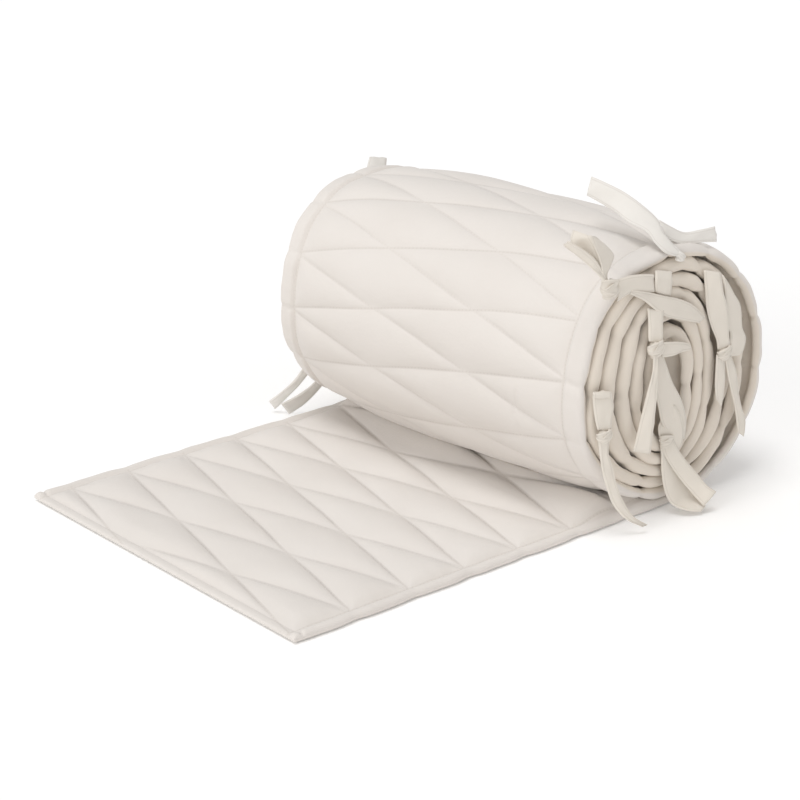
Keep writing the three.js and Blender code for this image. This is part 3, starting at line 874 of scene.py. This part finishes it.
# %% The ties' tables
# Each bracket is a place along one tape: x, y, z of one edge, then x, y, z of the other, in mm.
TIES = {
    "tie_top_rim": [
        [
            (311.8, 60, 237.8, 307.8, 60, 224.7), (315.4, 50, 234.9, 311.1, 50, 220.8),
            (320.8, 38, 230.1, 313, 37, 216.4), (325.2, 25, 223.1, 312.4, 23, 212),
            (330.1, 13, 213.9, 316.5, 10, 207.7), (327.6, 5, 207.2, 317.2, 2, 201.1),
            (332, -2, 198, 323.1, -3.5, 193.8), (339.2, -4.5, 190.8, 335.7, -5, 189.2),
        ],
        [
            (329, 11, 214, 330.4, 5, 202.1), (339.4, 9, 207.6, 338.5, 4, 197.5),
            (351.7, 7, 201.5, 350.4, 3, 193.5), (366.3, 5, 200.9, 366, 3, 191.9),
            (380.1, 4, 200.9, 381.7, 3, 189.2),
        ],
    ],
    "tie_left_rim": [
        [
            (260, -7, 183, 264, -7, 185), (255.4, -8, 190, 258.4, -8, 192.4),
            (246.6, -4, 200.5, 247.7, -9, 205.8), (236.7, -1, 210, 235.6, -8, 215.7),
            (227.8, 2, 217.9, 225.3, -5, 222.9),
        ],
        [
            (260, -6, 184, 264, -6.5, 184), (257.1, -6, 192.3, 257.8, -8, 193.7),
            (251.7, 0, 202.9, 251.5, -9, 207.5), (245.9, 4, 210.5, 246.3, -9, 216.9),
            (239.7, 7, 216.3, 243.8, -8, 222), (242.6, 8, 223.9, 244.6, -6, 222.6),
        ],
        [
            (261, -7, 184, 266, -6.5, 183), (256, -8, 192.3, 260.4, -7, 191.9),
            (251.6, -9, 204.2, 266.3, -6, 199.2), (246.4, -9, 214.5, 268.6, -5, 204.6),
            (243.6, -8, 221.2, 261, -5, 212.4), (244.1, -6, 223.1, 249.7, -5, 220.2),
        ],
        [
            (271.5, -7.5, 171, 271, -7, 187), (282, -8.5, 174.5, 282.5, -8, 187.5),
            (295, -9, 173, 295, -8.5, 186), (306, -9, 171, 306, -8, 183.5),
        ],
        [
            (309.5, -6, 185, 326, -6, 181), (305.5, -10, 180.5, 322.5, -10, 175.5),
            (307.5, -9, 170.5, 323, -9, 164),
        ],
        [
            (282, -9, 174.5, 284, -9, 177.5), (294, -10, 168, 299.5, -10, 172.5),
            (304.5, -11.5, 159.5, 314.5, -11, 167), (315.5, -12, 152, 328.5, -11.5, 162),
            (334, -11.5, 145, 344, -11, 154), (352.5, -10, 138.5, 358.5, -10, 142),
        ],
    ],
    "tie_right_turns": [
        [
            (361.5, -4, 174.5, 374.5, -8.5, 171), (362, -6, 159.5, 375, -12, 157),
            (362.5, -7.5, 146.5, 379, -13, 144), (366.5, -8.5, 133.5, 381, -13, 128.5),
            (372, -10, 121.5, 383.5, -12.5, 117), (374, -10, 113.5, 385, -12, 111),
        ],
        [
            (372, -10.5, 110.5, 380, -10.5, 108), (371, -11.5, 99.5, 380.5, -12, 97.5),
            (371.5, -11.5, 86.5, 381, -12, 83), (374, -11, 75.5, 380.5, -11, 68),
        ],
        [
            (380, -11, 108.5, 388.5, -10.5, 106.5), (383, -12.5, 93, 393, -12, 92),
            (388.5, -12.5, 77.5, 397.5, -11.5, 75), (395, -11, 64, 403.5, -10.5, 61.5),
            (399.5, -9.5, 50.5, 409.5, -9, 51.5), (402.5, -8.5, 42.5, 409.5, -8.5, 37),
        ],
        [
            (374.4, -10, 169.7, 377.8, -9.5, 167), (377.6, -10.5, 158.4, 388.9, -9.5, 152.7),
            (378.7, -10.5, 146.1, 396.2, -10, 141.5), (379.3, -11, 131.1, 398.8, -10, 125.4),
            (384.6, -11.5, 124.2, 402.9, -10.5, 115.8), (383.8, -12, 115.4, 399.2, -11, 105.5),
            (380, -12.5, 110.7, 387.2, -12, 105.7),
        ],
    ],
    "tie_core": [
        [
            (300.5, -8.5, 160.5, 312.5, -12.5, 157.5), (301, -9.5, 150, 311.5, -13.5, 147.5),
            (300, -11, 141, 311.5, -14, 138), (300, -11.5, 137, 311, -14, 134.5),
        ],
        [
            (312, -13, 123, 310.5, -13, 134.5), (323, -14, 122, 322.5, -14, 132.5),
            (333.5, -13, 122, 334.5, -12.5, 129), (344, -10.5, 120, 344.5, -10.5, 124.5),
        ],
        [
            (302.5, -13.5, 129.5, 307, -14.5, 130), (301, -15, 116, 304.5, -17, 115.5),
            (296, -15.5, 101, 303, -18.5, 100.5), (291.5, -14.5, 82, 300.5, -19.5, 81.5),
            (286, -13.5, 59.5, 298, -19.5, 56.5),
        ],
        [
            (308.5, -10.5, 127, 313, -13, 125.5), (307.5, -11.5, 115.5, 319, -12.5, 114),
            (307.5, -12, 100.5, 326, -12, 100.5), (312.5, -11.5, 85, 336.5, -11, 85),
            (319.5, -10.5, 69, 343.5, -10.5, 67.5), (333.5, -9.5, 55.5, 343.5, -10, 53),
        ],
        [
            (319.8, -10, 85, 328, -13, 83.5), (319.7, -9, 76.1, 335.2, -12.5, 73.2),
            (316.8, -8.5, 67.9, 339.6, -12, 61), (318.6, -9, 57.2, 338.8, -12, 52.5),
            (319.5, -9.5, 47.8, 336.3, -11.5, 45.6),
        ],
    ],
    "tie_low_turns": [
        [
            (319.5, -9.5, 57, 329.5, -11.5, 57), (321.5, -11, 47, 335, -15, 45),
            (331.5, -14.5, 30, 347.5, -19.5, 28.5), (341, -20.5, 15.5, 352.5, -25, 19.5),
            (346, -29, 6, 357.5, -30, 14.5),
        ],
        [
            (320, -9.5, 55.5, 326.5, -10, 53), (320.5, -9, 43, 331.5, -11, 41.5),
            (322.5, -9, 28.5, 340, -12, 27.5), (324.5, -11, 16, 345.5, -14, 17),
            (328, -15, 7.5, 349.5, -17, 10.5), (333.5, -24, 4.5, 350, -23, 7.5),
            (343, -29, 2.5, 349, -28, 5),
        ],
    ],
    "tie_left_turns": [
        [
            (252, -6, 107.5, 266, -10.5, 106), (252.5, -6.5, 99.5, 267.5, -11.5, 97.5),
            (254, -7, 90, 267, -11, 88), (255.5, -8, 82, 267, -10.5, 79),
        ],
        [
            (252.5, -5.5, 109.5, 266.5, -10, 107.5), (250.5, -7.5, 109.5, 264.5, -12, 107.5),
            (251, -7.5, 106, 265, -12, 104.5),
        ],
        [
            (255.5, -9, 75.5, 265.5, -11, 74.5), (256.5, -10, 64, 263, -12.5, 64),
            (258, -11.5, 51.5, 266, -14, 52.5), (261.5, -13, 38.5, 268.5, -16, 40),
            (266.5, -15.5, 24.5, 274, -18, 26.5), (276, -19, 12.5, 281.5, -21, 14),
            (287.5, -24, 5, 293, -24, 5),
        ],
    ],
    "tie_far_top": [
        [
            (310, 304, 191.5, 329.4, 304, 187.3), (317.4, 311, 194.5, 336.4, 311, 190.3),
            (326.1, 319, 197.8, 344.3, 319, 193.5),
        ],
    ],
    "tie_far_low": [
        [
            (246.5, 307, 42.5, 252.5, 307, 37), (244.5, 316, 30.5, 249.5, 316, 24.5),
            (240, 326, 19.5, 245, 326, 12.5), (233.5, 335, 10, 239.5, 335, 1.5),
        ],
        [
            (260.5, 308, 29, 266.5, 308, 22.5), (254.5, 311, 23, 260.5, 311, 15.5),
            (244, 313, 18, 251, 313, 8.5), (231, 316, 13.5, 239, 316, 2.5),
        ],
    ],
}

# These hang in front of the layers and take the same painted shade as the layers.
AMONG_THE_TURNS = ("tie_left_rim", "tie_right_turns", "tie_core", "tie_low_turns",
                   "tie_left_turns")

# The knots: where, how wide, deep and high, how much they lean to the right in degrees, and how
# wide the tape is that is drawn round them.
KNOTS = {
    "tie_top_rim": [((336.5, -3.5, 189), (8, 4.5, 7), 40, 5)],
    "tie_left_rim": [((263, -7, 183), (15, 8.5, 15), 12, 11)],
    "tie_right_turns": [((380, -11, 111), (14, 7, 9), -12, 7)],
    "tie_core": [((305.5, -12.5, 131.5), (14, 8, 12), -8, 9)],
    "tie_low_turns": [((323.5, -10, 57.5), (13, 6.5, 10), 14, 7)],
    "tie_left_turns": [((261, -9, 77), (13, 8, 9), -6, 7)],
    "tie_far_low": [((256.5, 308, 41), (11, 5, 9), 30, 6)],
}


# %% [markdown]
# A smooth line through the table's places carries each edge. The tape between them has seven
# rows: its rims are folded under and stitched, so they are a little thicker than its middle.

# %% One tape
TIE_THICK = 1.0
STEPS = 8
# Where the seven rows lie across the tape, and each row's share of its thickness.
ACROSS = np.array([-1, -0.82, -0.45, 0, 0.45, 0.82, 1])
THICKNESS = np.array([0.35, 1.15, 0.8, 0.75, 0.8, 1.15, 0.35])
TOWARDS_VIEWER = np.array([0, -1, 0.2])


def through(places):
    """A smooth line through a table's places, with STEPS points to a span."""
    p = np.array(places, float)
    p = np.concatenate([[2 * p[0] - p[1]], p, [2 * p[-1] - p[-2]]])
    t = (np.arange(STEPS) / STEPS)[:, None]
    out = []
    for a, b, c, d in zip(p, p[1:], p[2:], p[3:]):
        out.append(0.5 * (2 * b + (c - a) * t + (2 * a - 5 * b + 4 * c - d) * t * t
                          + (3 * b - a - 3 * c + d) * t ** 3))
    return np.concatenate([*out, p[-2:-1]])


def run_in_space(line):
    """Lengths along a line in space, from its first point."""
    return np.concatenate([[0], np.cumsum(np.linalg.norm(np.diff(line, axis=0), axis=1))])


def tape(tie, places, crown=0.7, seed=0):
    """One flat tape between two edges, closed all round."""
    line = through(places)
    left, right = line[:, :3], line[:, 3:]
    middle, across = (left + right) / 2, (right - left) / 2
    wide = np.linalg.norm(across, axis=1)
    up = np.cross(across, np.gradient(middle, axis=0))
    up /= np.maximum(np.linalg.norm(up, axis=1), 1e-6)[:, None]
    for i in range(len(up)):
        before = up[i - 1] if i else TOWARDS_VIEWER
        if up[i] @ before < 0:
            up[i] = -up[i]
    run = run_in_space(middle)
    first = len(tie["points"])
    for i, (m, a, n) in enumerate(zip(middle, across, up)):
        thin = min(1, (0.25 + min(i, len(up) - 1 - i)) / 1.5)
        puckers = 0.4 * np.sin(ACROSS * 4 + run[i] / 4.3 + seed) * (1 - np.abs(ACROSS) ** 3)
        puckers = puckers + 0.25 * np.sin(ACROSS * 7 - run[i] / 9 + 2 * seed)
        rise_by = crown * min(1, wide[i] / 5) * (1 - ACROSS ** 2) + puckers
        half = TIE_THICK / 2 * THICKNESS * thin
        for face in (1, -1):
            for u, r, h in list(zip(ACROSS, rise_by, half))[::face]:
                tie["points"].append(m + a * u + n * (r + face * h))
                tie["cloth"].append((u * wide[i], run[i] + seed * 37, (1 - abs(u)) * wide[i]))
    ring = 2 * len(ACROSS)
    for i in range(len(up) - 1):
        for k in range(ring):
            p, q = first + ring * i + k, first + ring * i + (k + 1) % ring
            tie["faces"].append((p, q, q + ring, p + ring))
    last = first + ring * (len(up) - 1)
    tie["faces"].append([first + k for k in reversed(range(ring))])
    tie["faces"].append([last + k for k in range(ring)])


# %% [markdown]
# A knot is a small packed core with two turns of tape drawn tight round its front.

# %% One knot
RINGS = 8
AROUND = 16
WRAP_ANGLES = np.radians(np.arange(-105, 106, 30))


def knot(tie, at, size, lean, wide):
    """A knot pulled tight: a packed core and two turns of tape round its front."""
    at, reach = np.array(at, float), np.array(size) / 2
    first = len(tie["points"])
    for i in range(1, RINGS):
        lat = math.pi * i / RINGS
        for k in range(AROUND):
            turn = 2 * math.pi * k / AROUND
            ridge = 0.8 + 0.08 * math.sin(3 * turn + 2 * lat)
            way = [math.sin(lat) * math.cos(turn), math.sin(lat) * math.sin(turn), math.cos(lat)]
            tie["points"].append(at + reach * way * ridge)
            tie["cloth"].append((3 * turn, 6 * lat, 5))
    for i in range(RINGS - 2):
        for k in range(AROUND):
            p, q = first + i * AROUND + k, first + i * AROUND + (k + 1) % AROUND
            tie["faces"].append((p, p + AROUND, q + AROUND, q))
    last = first + (RINGS - 2) * AROUND
    tie["faces"].append([first + k for k in range(AROUND)])
    tie["faces"].append([last + k for k in reversed(range(AROUND))])
    for turn_lean, shift, scale in ((lean, 0.16, 1.0), (lean - 34, -0.2, 0.92)):
        c, s = math.cos(math.radians(turn_lean)), math.sin(math.radians(turn_lean))
        side, rise_way = np.array([c, 0, -s]), np.array([s, 0, c])
        rows = []
        for angle in WRAP_ANGLES:
            out = side * reach[0] * math.sin(angle) * scale - [0, reach[1] * math.cos(angle), 0]
            half = rise_way * wide / 2 * (0.62 + 0.38 * math.cos(angle)) * scale
            centre = at + out + rise_way * reach[2] * shift
            rows.append([*(centre - half), *(centre + half)])
        tape(tie, rows, crown=0.9, seed=turn_lean)


# %% [markdown]
# Each tie is one mesh of its tapes and its knot. It takes the place of its CAD node.

# %% The ties
# How much of the painted shade between the layers the ties among the turns take.
TIE_LAYER_SHADE = 0.75

for name, bands in TIES.items():
    tie = {"points": [], "faces": [], "cloth": []}
    for number, places in enumerate(bands):
        tape(tie, places, seed=number)
    for row in KNOTS.get(name, []):
        knot(tie, *row)
    mesh = bpy.data.meshes.new(name + "_cloth")
    moved = (np.array(tie["points"]) + TO_PART) * MM
    mesh.from_pydata(moved.tolist(), [], tie["faces"])
    mesh.update()
    mesh.attributes.new("cloth", "FLOAT_VECTOR", "POINT").data.foreach_set(
        "vector", (np.array(tie["cloth"]) * MM).ravel()
    )
    # Ties among the turns take part of the painted shade between the layers.
    inside = TIE_LAYER_SHADE if name in AMONG_THE_TURNS else 0.0
    mesh.attributes.new("inside", "FLOAT", "POINT").data.foreach_set(
        "value", np.full(len(mesh.vertices), inside)
    )
    mesh.polygons.foreach_set("use_smooth", [True] * len(mesh.polygons))
    piece = bpy.data.objects.new(name + "_cloth", mesh)
    bpy.context.collection.objects.link(piece)
    piece.data.materials.append(tie_cotton)
    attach(piece, "root")
    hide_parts(name)
